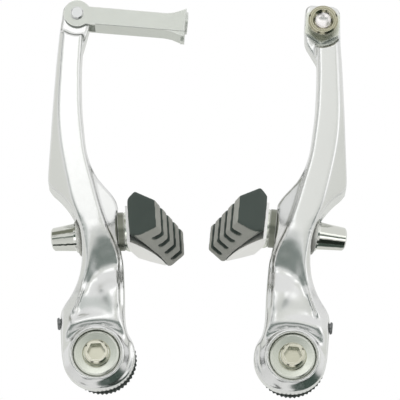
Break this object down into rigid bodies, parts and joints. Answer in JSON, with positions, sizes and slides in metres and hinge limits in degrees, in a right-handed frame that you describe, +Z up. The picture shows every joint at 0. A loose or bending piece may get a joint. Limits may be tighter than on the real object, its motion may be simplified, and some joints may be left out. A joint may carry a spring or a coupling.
{
  "type": "bicycle caliper brake",
  "caption": "Linear-pull bicycle caliper brake: mirrored forged arms on spring-loaded pivots, slotted rubber shoes and a folded cable link.",
  "frame": {"origin": "midway between the two pivot axes, in the plane of the post shoulders", "axes": "+Y along the pivots towards the fork or frame, +Z up towards the cable ends, +X from the link arm to the anchor arm"},
  "size_m": [0.0935, 0.0414, 0.1233],
  "materials": {
    "arm_alloy": "polished forging",
    "link_alloy": "satin rolled sheet",
    "carrier_alloy": "satin",
    "zinc_steel": "pale yellowish zinc plating",
    "washer_steel": "bright plated",
    "plain_steel": "turned",
    "spring_steel": "drawn wire",
    "dark_washer": "dark olive plating",
    "black_steel": "black oxide",
    "bright_chrome": "mirror",
    "liner_bronze": "sintered bronze",
    "black_plastic": "moulded",
    "pad_rubber": "moulded, grey ground friction bars"
  },
  "bodies": {
    "post_hardware": {"left_post_sleeve": "plain_steel", "left_mounting_bolt": "zinc_steel", "left_flange_washer": "washer_steel", "left_spring_seat": "black_plastic", "right_post_sleeve": "plain_steel", "right_mounting_bolt": "zinc_steel", "right_flange_washer": "washer_steel", "right_spring_seat": "black_plastic"},
    "left_arm_set": {"left_arm": "arm_alloy", "left_bearing_liner": "liner_bronze", "left_return_spring": "spring_steel", "left_spring_hook": "plain_steel", "left_tension_screw": "black_steel", "left_brake_pad": "pad_rubber", "left_pad_carrier": "carrier_alloy", "left_pad_stud": "plain_steel", "left_inner_cup": "dark_washer", "left_inner_dome": "washer_steel", "left_outer_cup": "dark_washer", "left_outer_dome": "washer_steel", "left_barrel_nut": "bright_chrome"},
    "right_arm_set": {"right_arm": "arm_alloy", "right_bearing_liner": "liner_bronze", "right_return_spring": "spring_steel", "right_spring_hook": "plain_steel", "right_tension_screw": "black_steel", "right_brake_pad": "pad_rubber", "right_pad_carrier": "carrier_alloy", "right_pad_stud": "plain_steel", "right_inner_cup": "dark_washer", "right_inner_dome": "washer_steel", "right_outer_cup": "dark_washer", "right_outer_dome": "washer_steel", "right_barrel_nut": "bright_chrome", "cable_anchor_bolt": "zinc_steel", "cable_clamp_washer": "washer_steel"},
    "link_set": {"cable_link": "link_alloy", "link_pin": "plain_steel"}
  },
  "joints": [
    {"name": "left_arm_pivot", "type": "hinge", "parent": "post_hardware", "child": "left_arm_set", "pos_m": [-0.0301, -0.014, 0], "axis": [0, -1, 0], "range_deg": [-3.5, 20], "stiffness_Nm_per_rad": 0.6},
    {"name": "right_arm_pivot", "type": "hinge", "parent": "post_hardware", "child": "right_arm_set", "pos_m": [0.0301, -0.014, 0], "axis": [0, 1, 0], "range_deg": [-3.5, 20], "stiffness_Nm_per_rad": 0.6},
    {"name": "link_swivel", "type": "hinge", "parent": "left_arm_set", "child": "link_set", "pos_m": [-0.0385, -0.0133, 0.10797], "axis": [0, -1, 0], "range_deg": [-12, 60]}
  ]
}
